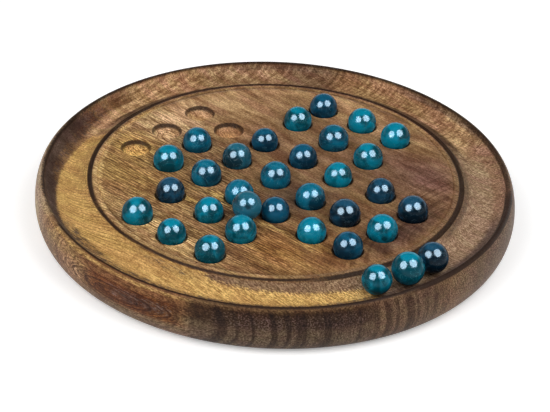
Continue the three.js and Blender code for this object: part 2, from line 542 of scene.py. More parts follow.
@dataclass(frozen=True)
class OiledMangoWood:
    """Mango wood, turned on a lathe, scorched in its cuts and oiled.

    To the eye it is a warm mid brown with fine straight lines along the grain, ragged golden
    sapwood, patches of near-black heart, short dark pores and a satin sheen that breaks on the
    fibres.
    """

    name: str = "mango_wood_turned_oiled"
    # Growth lines wander by a few millimetres over a hand's width
    wander_cell: tuple[float, float, float] = (160.0, 80.0, 60.0)
    wander_reach: tuple[float, float, float] = (2.0, 3.0, 3.0)
    # Clouds of tone a finger long
    clouds: FigureLayer = FigureLayer(
        (32.0, 8.0, 8.0), 4.0, 0.32, 0.68, (0.58, 0.48, 0.39), (1.42, 1.52, 1.58), "clouds"
    )
    # Drifts of hue, from plum to gold
    hues: FigureLayer = FigureLayer(
        (26.0, 7.0, 7.0), 2.0, 0.36, 0.64, (0.98, 0.84, 0.86), (1.04, 1.14, 0.92), "hues"
    )
    # Ripple across the grain, four or five millimetres from band to band
    ripple: FigureLayer = FigureLayer(
        (2.2, 13.0, 13.0), 2.0, 0.34, 0.66, (0.44, 0.33, 0.24), (1.56, 1.68, 1.76), "ripple"
    )
    # Fine growth lines 2 mm apart, and bolder, less even ones
    lines: HairLines = HairLines(
        (90.0, 5.0, 60.0), 2.0, -1.0, -0.1, (0.36, 0.27, 0.19), (1.14, 1.17, 1.18), "lines"
    )
    ribs: FigureLayer = FigureLayer(
        (400.0, 3.6, 150.0), 2.0, 0.38, 0.56, (0.36, 0.27, 0.20), (1.34, 1.38, 1.40), "ribs"
    )
    # Fibres and pores, drawn about twice as coarse as real ones so that they show
    fibres: FigureLayer = FigureLayer(
        (7.0, 0.75, 0.75), 2.0, 0.34, 0.66, (0.34, 0.23, 0.15), (1.66, 1.82, 1.94), "fibres"
    )
    specks: FigureLayer = FigureLayer(
        (1.3, 0.8, 0.8), 1.0, 0.34, 0.66, (0.36, 0.26, 0.18), (1.62, 1.76, 1.88), "specks"
    )
    # Ovals of growth rings on the front of the rim, and long curved ones at the field's right
    rings: tuple[RingLayer, ...] = (
        RingLayer(
            "eye", (6.5, -150.0, 17.0), (42.0, 60.0, 8.0), 9.0, 0.5,
            (0.4, 0.29, 0.2), (1.5, 1.6, 1.6),
        ),
        RingLayer(
            "bow", (112.0, 30.0, 31.0), (34.0, 90.0, 60.0), 9.0, 0.4,
            (0.6, 0.5, 0.42), (1.3, 1.34, 1.36),
        ),
    )
    # Golden sapwood and dark heart, and the scorch that the tool left in the cuts, whose coat also
    # lays painted shade inside the hollows' rims and on the groove's inner slope
    coats: tuple[RegionCoat, ...] = (
        RegionCoat("sapwood", "#c1975a", 0.35, 0.22, 0.78, 0.95),
        RegionCoat("heart", "#47342d", 0.6, 0.30, 0.70, 0.92),
    )
    scorch_and_shade: RegionCoat = RegionCoat("scorch_and_shade", "#24150e", 0.4, 0.15, 0.85, 0.92)
    # A satin oil: a soft sheen, a little glossier on the light specks
    roughness: float = 0.54
    speck_gloss: float = 0.08
    refraction: float = 1.47
    specular: float = 0.16
    # Fibres and growth lines stand a tenth of a millimetre proud and break the sheen
    fibre_relief: float = 0.7
    relief_height: float = 0.12
    relief_strength: float = 0.3

    def build(self) -> Material:
        """Builds the material's nodes.

        Returns:
            The material. It reads the colour attribute "tone" and one share for each coat and for
            each layer of figure, and all its patterns lie in Object coordinates.
        """
        material, tree = empty_material(self.name)
        place = add_node(tree, "ShaderNodeTexCoord").outputs["Object"]
        slow = add_node(
            tree, "ShaderNodeVectorMath", {"operation": "MULTIPLY"},
            {0: place, 1: per_mm(*self.wander_cell)},
        ).outputs[0]
        wander = add_node(
            tree, "ShaderNodeTexNoise", {"normalize": False},
            {"Vector": slow, "Scale": 1.0, "Detail": 1.0},
        ).outputs["Color"]
        reach = tuple(mm(length) for length in self.wander_reach)
        bent = add_node(
            tree, "ShaderNodeVectorMath", {"operation": "MULTIPLY_ADD"},
            {0: wander, 1: reach, 2: place},
        ).outputs[0]

        colour = add_node(tree, "ShaderNodeAttribute", {"attribute_name": "tone"}).outputs["Color"]
        fibres = self.fibres.share(tree, bent)
        lines = self.lines.share(tree, bent)
        specks = self.specks.share(tree, place)
        for coat in self.coats:
            colour = coat.build(tree, fibres, colour)
        for ring in self.rings:
            colour = ring.build(tree, bent, colour)
        for layer in (self.clouds, self.hues, self.ripple, self.ribs):
            colour = layer.lay(tree, layer.share(tree, bent), colour)
        colour = self.lines.lay(tree, lines, colour)
        colour = self.fibres.lay(tree, fibres, colour)
        colour = self.specks.lay(tree, specks, colour)
        colour = self.scorch_and_shade.build(tree, fibres, colour)

        lined = add_node(tree, "ShaderNodeAttribute", {"attribute_name": self.lines.where})
        ridges = add_node(
            tree, "ShaderNodeMath", {"operation": "MULTIPLY"}, {0: lines, 1: lined.outputs["Fac"]}
        ).outputs[0]
        relief = add_node(
            tree, "ShaderNodeMath", {"operation": "MULTIPLY_ADD"},
            {0: fibres, 1: self.fibre_relief, 2: ridges},
        ).outputs[0]
        bump = add_node(
            tree, "ShaderNodeBump", None,
            {
                "Strength": self.relief_strength,
                "Distance": mm(self.relief_height),
                "Height": relief,
            },
        ).outputs[0]
        rough = add_node(
            tree, "ShaderNodeMath", {"operation": "MULTIPLY_ADD"},
            {0: specks, 1: -self.speck_gloss, 2: self.roughness},
        ).outputs[0]
        surface = add_node(
            tree, "ShaderNodeBsdfPrincipled", None,
            {
                "Base Color": colour,
                "Roughness": rough,
                "IOR": self.refraction,
                "Specular IOR Level": self.specular,
                "Normal": bump,
            },
        ).outputs[0]
        add_node(tree, "ShaderNodeOutputMaterial", None, {"Surface": surface})
        return material


@dataclass
class TurnedBoard:
    """The board: one disc of hardwood with a field of hollows, a groove and a rounded rim.

    Sizes are millimetres and match the frame's node "board", over which this finer skin lies.
    """

    line_inner: float = 110.235
    line_width: float = 1.2
    line_depth: float = 0.6
    bead_width: float = 2.8
    cut_width: float = 3.5
    cut_depth: float = 1.4
    groove_inner_run: float = 13.2
    groove_outer_run: float = 14.2
    groove_depth: float = 6.4
    groove_edge_drop: float = 0.8
    field_height: float = 31.0
    crest_rise: float = 0.9
    crest_round: float = 0.9
    side_swell: float = 4.7
    swell_height: float = 16.5
    base_tuck: float = 10.5
    hollow_radius: float = 9.65
    hollow_depth: float = 6.5
    hollow_skirt: float = 1.3
    rim_softness: float = 0.28
    # The dark ring in each hollow, partly burnish and partly painted shade: the bearing where its
    # painted shade is deepest, its share all round and the shade's share at that bearing on top of
    # it, and where it lies and how softly it ends, from the rim
    lip_shade_bearing: float = 130.0
    lip_share_round: float = 0.3
    lip_shade_turned: float = 0.55
    lip_inside: float = 1.4
    lip_outside: float = 0.2
    lip_soft: float = 0.9
    # The skin's fineness: points round the turning and round each hollow, and points along each
    # part of the outline
    sides: int = 384
    rim_sides: int = 48
    base_steps: int = 30
    lower_steps: int = 22
    upper_steps: int = 26
    crest_steps: int = 7
    wall_steps: int = 22
    inner_steps: int = 18
    cut_steps: int = 11
    bead_steps: int = 4
    line_steps: int = 9
    # A dish is finer from its skirt to this far inside its rim, and past the rim it is carried on
    # at this slope, so that the soft minimum has something to cut
    near_rim: float = 1.2
    lip_steps: int = 12
    dish_steps: int = 11
    rim_slope: float = 18.0
    # The flat's grid of triangles, and the shares of its spacing that it keeps clear of the skirts
    # and of the field's edge
    field_grid: float = 2.3
    skirt_clear_share: float = 0.45
    edge_clear_share: float = 0.5
    spare_rows: int = 8
    # Triangles whose middle lies within this share of a skirt's radius are left out, and points
    # closer than this many metres are the same
    skirt_inside_share: float = 0.995
    same_point: float = 1e-7
    # Heights under which a point counts as on the base or the side, the drop from which it is in a
    # hollow, and how far inside and outside the field's edge its tones end
    base_below: float = 1.0
    side_below: float = 20.0
    hollow_from: float = 0.5
    field_fade: tuple[float, float] = (4.0, 6.0)
    wood: OiledMangoWood = field(default_factory=OiledMangoWood)

    # The wood's tone, and where it changes
    base_tone: str = "#83603f"
    tones: tuple[Patch, ...] = (
        Patch(176, 240, 108.6, 112.4, 12, 1.6, 0.9, "#c9a26c"),
        Patch(90, 176, 103, 109.8, 24, 5, 0.6, "#b98f66"),
        Patch(200, 262, 111.4, 114.3, 20, 1.0, 1.0, "#bb9466"),
        Patch(258, 318, 111.4, 114.3, 14, 1.0, 1.0, "#a78258"),
        Patch(60, 200, 111.8, 113.8, 20, 1.0, 0.8, "#9c774f"),
        Patch(66, 176, 113.8, 117.4, 20, 1.0, 1.0, "#875038"),
        Patch(316, 60, 111.8, 113.8, 20, 1.0, 0.8, "#7d5f45"),
        Patch(54, 88, 116, 146, 10, 6, 1.0, "#a88160"),
        Patch(84, 116, 116, 146, 8, 6, 1.0, "#96704f"),
        Patch(114, 130, 116, 146, 6, 6, 1.0, "#775742"),
        Patch(128, 154, 116, 146, 6, 6, 1.0, "#997557"),
        Patch(152, 178, 116, 146, 8, 6, 1.0, "#ae8562"),
        Patch(174, 199, 116, 136, 8, 4, 1.0, "#b38b66"),
        # Painted shade on the groove's inner slope at the back, beyond the cut
        Patch(56, 190, 118, 126.8, 20, 2.4, 0.85, "#4e3528"),
        Patch(174, 199, 136, 146, 8, 4, 1.0, "#7e583b"),
        Patch(330, 60, 116, 142, 16, 8, 1.0, "#977960"),
        Patch(325, 34, 137, 146, 16, 4, 1.0, "#60493d"),
        Patch(26, 64, 136, 146, 16, 4, 1.0, "#8e6a53"),
        Patch(66, 94, 142.0, 144.6, 10, 1.2, 0.85, "#6a4f3e"),
        Patch(118, 142, 142.0, 144.6, 8, 1.2, 0.5, "#6a4f3e"),
        Patch(286, 338, (115.6, 117), (126, 124), 16, 4, 1.0, "#82644a"),
        Patch(72, 180, 146, 184, 40, 6, 1.0, "#7a5b42"),
        Patch(176, 245, 144.2, 184, 16, 1, 1.0, "#a08468"),
        Patch(238, 266, 146, 156, 10, 6, 1.0, "#8a6743"),
        Patch(238, 266, 156, 184, 10, 6, 1.0, "#7c5b41"),
        Patch(262, 290, 150, 166, 8, 5, 1.0, "#562e12"),
        Patch(260, 292, 144, 151, 8, 2, 1.0, "#724b2d"),
        Patch(262, 292, 166, 184, 8, 5, 1.0, "#6e5541"),
        Patch(244, 292, 146.2, (147.8, 147.6), 12, 1.0, 0.9, "#a98350"),
        Patch(290, 336, 146, 161, 6, 6, 1.0, "#2e1a0b"),
        Patch(290, 336, 158, 184, 6, 6, 1.0, "#503d2e"),
        Patch(334, 352, 146, 184, 8, 4, 1.0, "#573f2e"),
        Patch(350, 76, 146, 184, 40, 4, 1.0, "#634b39"),
    )
    blooms: tuple[Bloom, ...] = (
        Bloom((-72, 52), (36, 26), 0.9, "#aa815d"),
        Bloom((-96, 6), (20, 32), 0.95, "#cda67c"),
        Bloom((-88, -34), (16, 16), 0.9, "#b48b52"),
        Bloom((-62, -60), (40, 26), 0.9, "#a17a47"),
        Bloom((0, -98), (48, 14), 0.95, "#c89b6a"),
        Bloom((56, -62), (36, 24), 0.9, "#8f6236"),
        Bloom((80, -38), (24, 16), 0.9, "#835833"),
        Bloom((68, 66), (36, 30), 1.0, "#704d41"),
        Bloom((98, 8), (16, 40), 0.95, "#573b30"),
        Bloom((26, -8), (20, 20), 0.9, "#523d30"),
        Bloom((-6, 32), (40, 22), 0.8, "#8a644a"),
        Bloom((0, 92), (52, 16), 0.9, "#b2885f"),
        Bloom((-85.5, -37.5), (8, 8), 0.9, "#d8ae66"),
        Bloom((-86, -8.5), (8, 8), 0.9, "#cba57c"),
        Bloom((-86, 23), (8, 8), 0.9, "#c69c72"),
        Bloom((-58, 20), (8, 8), 0.9, "#c08c62"),
    )
    # Where there is sapwood and heart, and scorch with some painted shade
    sap_patches: tuple[Patch, ...] = (
        Patch(197, 252, 117.6, (129, 143), 6, 5, 1.0),
        Patch(248, 290, (116.0, 115.6), 142, 6, 1, 1.0),
        Patch(282, 338, (119, 126), 142, 6, 7, 1.0),
    )
    sap_blooms: tuple[Bloom, ...] = (
        Bloom((-4, -42), (16, 5), 0.75),
        Bloom((70, -44), (12, 6), 0.7),
        Bloom((36, -46), (18, 3), 0.5),
        Bloom((-20, -58), (22, 3), 0.5),
        Bloom((-98, -30), (10, 14), 0.5),
        Bloom((-64, -44), (22, 3), 0.4),
    )
    heart_patches: tuple[Patch, ...] = (
        Patch(192, 228, (131, 137), 144.6, 26, 7, 0.66),
        Patch(224, 254, (136, 142), 144.6, 14, 5, 0.9),
        Patch(194, 236, (139.5, 140.5), 144.9, 18, 1.6, 0.6),
        Patch(170, 198, (137, 132), 144.6, 20, 8, 0.3),
        Patch(262, 290, 117.6, (120, 124), 12, 5, 0.35),
        # Darker up the groove's outer wall at the front, towards the crest
        Patch(244, 350, 132.8, 144.6, 14, 2.4, 0.55),
        Patch(270, 288, 153, 161, 8, 5, 0.5),
        Patch(296, 334, 149, 160, 16, 8, 0.4),
    )
    scorch_and_shade_patches: tuple[Patch, ...] = (
        Patch(90, 175, 110.2, 111.9, 24, 0.7, 0.42),
        Patch(235, 320, 109.6, 111.0, 30, 0.7, 0.36),
        Patch(318, 246, 114.6, 117.2, 16, 1.0, 0.4),
        Patch(172, 242, (113.6, 114.9), (118.2, 117.0), 20, 1.2, 1.0),
        Patch(322, 90, 114.2, (117.9, 117.4), 20, 1.2, 0.95),
        # Painted shade on the groove's inner slope past the cut, at the right
        Patch(8, 52, 116.5, 121.0, 14, 3.0, 0.5),
        Patch(240, 262, (114.8, 114.6), (116.5, 116.0), 12, 0.8, 0.95),
        Patch(258, 324, 114.3, (115.3, 115.5), 12, 0.6, 0.8),
        Patch(50, 190, 115.8, 119.4, 16, 1.4, 0.95),
        Patch(50, 200, 144.2, 145.5, 16, 0.4, 0.9),
        Patch(190, 246, 143.9, 145.4, 14, 0.8, 0.7),
        Patch(296, 352, 141.8, 145.9, 16, 1.6, 0.95),
        Patch(344, 38, 142.6, 147.0, 14, 1.0, 1.0),
        Patch(34, 76, 143.4, 145.6, 16, 1.0, 0.7),
        Patch(244, 322, 143.4, 145.45, 12, 0.5, 0.95),
    )
    # How strongly each layer of the figure is laid on
    eye_patches: tuple[Patch, ...] = (Patch(244, 306, 146.5, 190, 16, 2, 1.0),)
    bow_patches: tuple[Patch, ...] = (Patch(310, 70, -5, 109, 20, 4, 0.7),)
    cloud_patches: tuple[Patch, ...] = (
        Patch(310, 180, -5, 111, 40, 6, 0.9),
        Patch(180, 310, -5, 111, 40, 6, 0.5),
        Patch(60, 206, 111, 146, 20, 6, 0.7),
        Patch(206, 252, (136, 140), 146, 10, 4, 0.7),
        Patch(206, 290, 111, 146, 20, 6, 0.4),
        Patch(290, 60, 111, 146, 20, 6, 0.25),
        Patch(0, 360, 146, 320, 0, 4, 0.35),
    )
    hue_patches: tuple[Patch, ...] = (
        Patch(0, 360, -5, 114, 0, 6, 0.45),
        Patch(40, 200, 114, 320, 30, 6, 0.65),
        Patch(200, 40, 146, 320, 30, 6, 0.5),
        Patch(200, 40, 114, 146, 30, 6, 0.3),
    )
    ripple_patches: tuple[Patch, ...] = (
        Patch(60, 190, 112, 146, 24, 6, 0.6),
        Patch(190, 290, 118, 146, 20, 6, 0.12),
        Patch(330, 60, 118, 146, 20, 6, 0.25),
        Patch(250, 350, 146, 190, 20, 8, 0.2),
    )
    line_patches: tuple[Patch, ...] = (
        Patch(0, 360, -5, 112, 0, 6, 0.1),
        Patch(182, 300, 20, 112, 40, 30, 0.7),
        Patch(296, 330, 40, 112, 20, 30, 0.4),
        Patch(206, 262, 118, 138, 16, 6, 0.25),
        Patch(236, 300, 112, 142, 16, 8, 0.2),
        Patch(200, 262, 146, 190, 20, 6, 0.35),
        Patch(0, 360, 180, 320, 0, 6, 0.3),
    )
    rib_patches: tuple[Patch, ...] = (
        Patch(288, 352, 147, 186, 10, 6, 0.8),
        Patch(238, 292, 147, 186, 16, 3, 0.3),
        Patch(0, 360, -5, 110, 0, 6, 0.15),
        Patch(244, 330, 30, 109, 30, 20, 0.3),
    )
    fibre_patches: tuple[Patch, ...] = (
        Patch(170, 320, 20, 114, 30, 20, 0.6),
        Patch(0, 360, -5, 114, 0, 2, 0.3),
        Patch(60, 200, 114, 146, 20, 2, 0.45),
        Patch(200, 280, 114, 146, 20, 2, 0.3),
        Patch(280, 335, 114, 146, 20, 2, 0.55),
        Patch(330, 60, 114, 146, 20, 2, 0.5),
        Patch(0, 360, 146, 320, 0, 2, 0.75),
    )
    speck_patches: tuple[Patch, ...] = (
        Patch(0, 360, -5, 112, 0, 6, 0.45),
        Patch(318, 70, 112, 320, 30, 4, 0.55),
        Patch(70, 200, 112, 320, 30, 4, 0.5),
        Patch(200, 318, 112, 146, 30, 4, 0.35),
        Patch(200, 318, 146, 320, 30, 4, 0.45),
    )

    @property
    def groove_floor(self) -> float:
        """Gives the radius where the groove is deepest."""
        line_outer = self.line_inner + self.line_width
        return line_outer + self.bead_width + self.cut_width + self.groove_inner_run

    @property
    def crest(self) -> float:
        """Gives the radius of the crest's top."""
        return self.groove_floor + self.groove_outer_run

    @property
    def crest_height(self) -> float:
        """Gives the height of the crest's top."""
        return self.field_height + self.crest_rise

    def outline(self) -> np.ndarray:
        """Works out the turned outline, from the middle of the base to the edge of the field.

        Quarter ellipses make the side, the crest and the groove's outer wall, one circle's arc the
        groove's inner side, half a sine the scorched cut, and a raised cosine the incised line.

        Returns:
            Radius and height in metres at each step.
        """
        line_outer = self.line_inner + self.line_width
        cut_inner = line_outer + self.bead_width
        cut_outer = cut_inner + self.cut_width
        groove, crest, top = self.groove_floor, self.crest, self.crest_height
        floor = self.field_height - self.groove_depth
        edge = self.field_height - self.groove_edge_drop
        foot = crest + self.side_swell - self.base_tuck
        shoulder = top - self.crest_round

        base = np.linspace((0.0, 0.0), (foot, 0.0), self.base_steps)
        lower = ellipse_arc(
            (foot, self.swell_height), (self.base_tuck, self.swell_height),
            -1.0, 0.0, self.lower_steps,
        )
        upper = ellipse_arc(
            (crest, self.swell_height), (self.side_swell, top - self.swell_height),
            0.0, 1.0, self.upper_steps,
        )
        rounding = ellipse_arc(
            (crest, shoulder), (self.crest_round, self.crest_round), 1.0, 2.0, self.crest_steps
        )
        wall = ellipse_arc(
            (groove, shoulder), (self.groove_outer_run - self.crest_round, shoulder - floor),
            0.0, -1.0, self.wall_steps,
        )
        rise = edge - floor
        radius = (self.groove_inner_run**2 + rise**2) / (2.0 * rise)
        swing = np.linspace(0.0, math.acos((radius - rise) / radius), self.inner_steps)
        inner = np.stack(
            [groove - radius * np.sin(swing), floor + radius * (1 - np.cos(swing))], axis=1
        )
        share = np.linspace(0.0, 1.0, self.cut_steps)
        sunk = edge + self.groove_edge_drop * share - self.cut_depth * np.sin(np.pi * share)
        cut = np.stack([cut_outer - self.cut_width * share, sunk], axis=1)
        bead = np.linspace(
            (cut_inner, self.field_height), (line_outer, self.field_height), self.bead_steps
        )
        turn = 2 * np.pi * np.linspace(0, 1, self.line_steps)
        across = np.linspace(line_outer, self.line_inner, self.line_steps)
        dip = 0.5 * self.line_depth * (1 - np.cos(turn))
        line = np.stack([across, self.field_height - dip], axis=1)
        rest = [part[1:] for part in (lower, upper, rounding, wall, inner, cut, bead, line)]
        return mm(1.0) * np.concatenate([base, *rest])

    def hollow_middles(self) -> np.ndarray:
        """Finds where the hollows are: under the seated marbles, and in the record's open ones."""
        boxes = [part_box(name) for name in frame["nodes"] if name.startswith("marble_")]
        openings = frame["record"]["physics"]["openings"]
        boxes += [row["box_m"] for row in openings if row["name"].startswith("hollow_")]
        return np.array(boxes).mean(axis=1)[:, :2]

    def dish_outline(self) -> np.ndarray:
        """Works out a hollow's outline from its skirt on the field to its lowest point.

        The dish is a sphere's cap through the rim, and its lip is eased into the flat by a soft
        minimum: -k log(exp(-a / k) + exp(-b / k)).

        Returns:
            Radius and height in metres at each step.
        """
        radius = (self.hollow_radius**2 + self.hollow_depth**2) / (2 * self.hollow_depth)
        skirt = self.hollow_radius + self.hollow_skirt
        lip = self.hollow_radius - self.near_rim
        run = np.concatenate(
            [np.linspace(skirt, lip, self.lip_steps), np.linspace(lip, 0.0, self.dish_steps)[1:]]
        )
        cap = np.sqrt(np.maximum(radius**2 - run**2, 0.0))
        above = self.rim_slope * (run - self.hollow_radius)
        dish = np.where(run < self.hollow_radius, radius - self.hollow_depth - cap, above)
        eased = -self.rim_softness * np.logaddexp(-dish / self.rim_softness, 0.0)
        eased[0] = 0.0
        return mm(1.0) * np.stack([run, self.field_height + eased], axis=1)

    def field_flat(self, middles: np.ndarray) -> tuple[np.ndarray, np.ndarray]:
        """Fills the flat of the field round the hollows with even triangles.

        A triangular grid is joined to the field's edge and to each hollow's skirt, and what lies
        inside a skirt is left out.

        Args:
            middles: the hollows' middles in metres.

        Returns:
            Points and triangles that face up.
        """
        skirt = mm(self.hollow_radius + self.hollow_skirt)
        edge = mm(self.line_inner)
        grid = mm(self.field_grid)
        turn = np.linspace(0, 2 * np.pi, self.sides, endpoint=False)
        rim_turn = np.linspace(0, 2 * np.pi, self.rim_sides, endpoint=False)
        border = edge * np.stack([np.cos(turn), np.sin(turn)], axis=1)
        rims = middles[:, None, :] + skirt * np.stack([np.cos(rim_turn), np.sin(rim_turn)], axis=1)
        count = int(edge / grid) + 2
        rows = count + self.spare_rows
        column, row = np.meshgrid(np.arange(-count, count + 1), np.arange(-rows, rows + 1))
        inside = np.stack(
            [(column + 0.5 * (row % 2)) * grid, row * grid * math.sqrt(0.75)], axis=-1
        ).reshape(-1, 2)
        away = np.linalg.norm(inside[:, None, :] - middles, axis=2).min(axis=1)
        kept = away > skirt + self.skirt_clear_share * grid
        kept &= np.linalg.norm(inside, axis=1) < edge - self.edge_clear_share * grid
        flat = np.concatenate([border, rims.reshape(-1, 2), inside[kept]])

        ring = np.arange(self.sides)
        border_edges = np.stack([ring, np.roll(ring, -1)], axis=1)
        rim = np.arange(self.rim_sides)
        starts = self.sides + self.rim_sides * np.arange(len(middles))
        rim_edges = starts[:, None, None] + np.stack([rim, np.roll(rim, -1)], axis=1)
        edges = np.concatenate([border_edges, rim_edges.reshape(-1, 2)])
        found = delaunay_2d_cdt(flat.tolist(), edges.tolist(), [], 0, self.same_point)
        points = np.array(found[0], dtype=float)
        triangles = np.array(found[2])
        away = np.linalg.norm(points[triangles].mean(axis=1)[:, None, :] - middles, axis=2)
        outside = away.min(axis=1) > skirt * self.skirt_inside_share
        height = np.full((len(points), 1), mm(self.field_height))
        return np.concatenate([points, height], axis=1), triangles[outside]

    def skin(self) -> Mesh:
        """Joins the turned outline, the flat and the dishes into one closed mesh."""
        middles = self.hollow_middles()
        dish_points, dish_faces = lathe_grid(self.dish_outline(), self.rim_sides)
        offsets = np.concatenate([middles, np.zeros((len(middles), 1))], axis=1)
        dishes = [(dish_points + offset, dish_faces) for offset in offsets]
        parts = [lathe_grid(self.outline(), self.sides), self.field_flat(middles), *dishes]
        return closed_mesh("board_skin", *joined(parts))

    def paint(self, mesh: Mesh) -> None:
        """Lays the wood's regions on the skin as attributes.

        Args:
            mesh: the closed skin. It gains "tone" and each share that the wood reads.
        """
        x, y, z = 1000.0 * mesh_points(mesh).T
        radius = np.hypot(x, y)
        bearing = np.degrees(np.arctan2(y, x)) % 360.0
        foot = self.crest + self.side_swell - self.base_tuck
        inwards = np.where(z < self.base_below, np.maximum(foot - radius, 0.0), 0.0)
        below = self.crest + self.crest_height - z + inwards
        run = np.where((radius > self.crest) | (z < self.side_below), below, radius)
        fade_in, fade_out = self.field_fade
        on_field = 1.0 - ease(run, self.line_inner - fade_in, self.line_inner + fade_out)

        tone = np.tile(linear(self.base_tone)[:3], (len(x), 1))
        for bloom in self.blooms:
            share = (np.clip(bloom.share(x, y), 0, 1) * on_field)[:, None]
            tone += (np.array(linear(bloom.colour)[:3]) - tone) * share
        for patch in self.tones:
            share = np.clip(patch.share(bearing, run), 0, 1)[:, None]
            tone += (np.array(linear(patch.colour)[:3]) - tone) * share
        paint_colour(mesh, "tone", tone)

        regions = {
            "sapwood": self.sap_patches,
            "heart": self.heart_patches,
            "eye": self.eye_patches,
            "bow": self.bow_patches,
            "clouds": self.cloud_patches,
            "hues": self.hue_patches,
            "ripple": self.ripple_patches,
            "lines": self.line_patches,
            "ribs": self.rib_patches,
            "fibres": self.fibre_patches,
            "specks": self.speck_patches,
        }
        # Spots of sapwood lie on the field, and the hollows show no growth lines
        added = {
            "sapwood": sum(bloom.share(x, y) * on_field for bloom in self.sap_blooms),
            "lines": -np.where(z < self.field_height - self.hollow_from, on_field, 0.0),
        }
        for name, patches in regions.items():
            shares = sum(patch.share(bearing, run) for patch in patches)
            paint_share(mesh, name, shares + added.get(name, 0.0))
        # The scorch share also holds painted shade: the dark ring inside each hollow's rim
        scorched_and_shaded = [patch.share(bearing, run) for patch in self.scorch_and_shade_patches]
        paint_share(mesh, "scorch_and_shade", np.maximum.reduce([*scorched_and_shaded, self.lip_burnish_and_shade(x, y, run)]))

    def lip_burnish_and_shade(self, x: np.ndarray, y: np.ndarray, run: np.ndarray) -> np.ndarray:
        """Works out the dark ring just inside each hollow's rim, partly burnish and partly painted
        shade.

        At bearing b about the hollow's middle its strength is the share all round plus the painted
        shade's share times (1 + cos(b - b0)) / 2, so it is darkest towards the shade bearing b0.

        Args:
            x: millimetres along +X.
            y: millimetres along +Y.
            run: millimetres over the surface from the axis.

        Returns:
            A share that is highest half a millimetre inside the rim.
        """
        middles = 1000.0 * self.hollow_middles()
        across, along = x[:, None] - middles[:, 0], y[:, None] - middles[:, 1]
        away = np.hypot(across, along)
        nearest = away.argmin(axis=1)[:, None]
        near = np.take_along_axis(away, nearest, axis=1)[:, 0]
        bearing = np.arctan2(
            np.take_along_axis(along, nearest, axis=1)[:, 0],
            np.take_along_axis(across, nearest, axis=1)[:, 0],
        )
        # Painted shade, deepest towards the shade bearing
        turned = 0.5 + 0.5 * np.cos(bearing - math.radians(self.lip_shade_bearing))
        inner, outer = self.hollow_radius - self.lip_inside, self.hollow_radius + self.lip_outside
        lip = window(near, inner, outer, self.lip_soft)
        strength = self.lip_share_round + self.lip_shade_turned * turned
        return np.where(run < self.line_inner, strength * lip, 0.0)

    def build(self) -> Object:
        """Builds the board over its frame node and hangs it on its body.

        Returns:
            The finished piece.
        """
        mesh = self.skin()
        self.paint(mesh)
        piece = placed_piece("board_turned", mesh, self.wood.build())
        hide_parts("board")
        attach(piece, "board")
        return piece


# Camera


@dataclass(frozen=True)
class Viewpoint:
    """The photograph's camera: a long lens, a little over half a radian above the table.

    Angles are degrees, distance and target metres, and the lens and its sensor millimetres.
    """

    azimuth: float = 39.67
    elevation: float = 32.22
    roll: float = 2.55
    distance: float = 1.4661
    target: tuple[float, float, float] = (0.02276, -0.02720, 0.031)
    lens: float = 157.09
    sensor: float = 36.0
    clip_end: float = 50.0

    def axes(self) -> tuple[Vector, Vector, Vector]:
        """Gives the camera's right, up and back directions."""
        turn, rise = math.radians(self.azimuth), math.radians(self.elevation)
        level = math.cos(rise)
        back = Vector((math.sin(turn) * level, -math.cos(turn) * level, math.sin(rise)))
        right = Vector((math.cos(turn), math.sin(turn), 0.0))
        up = back.cross(right)
        cosine, sine = math.cos(math.radians(self.roll)), math.sin(math.radians(self.roll))
        return right * cosine + up * sine, up * cosine - right * sine, back

    def build(self) -> Object:
        """Puts the camera in the scene and makes it the scene's own.

        Returns:
            The camera.
        """
        right, up, back = self.axes()
        data = bpy.data.cameras.new("photo_camera")
        data.lens = self.lens
        data.sensor_width = self.sensor
        data.sensor_fit = "HORIZONTAL"
        data.clip_end = self.clip_end
        camera = bpy.data.objects.new("photo_camera", data)
        place = Vector(self.target) + back * self.distance
        turned = Matrix((right, up, back)).transposed().to_4x4()
        camera.matrix_world = Matrix.Translation(place) @ turned
        bpy.context.scene.collection.objects.link(camera)
        bpy.context.scene.camera = camera
        return camera


# Marbles


class Stone(Enum):
    """The tones of dyed stone, named as the record's slots."""

    TEAL = "stone_teal"
    BLUE = "stone_blue"
    NAVY = "stone_navy"
    INK = "stone_ink"
    SLATE = "stone_slate"


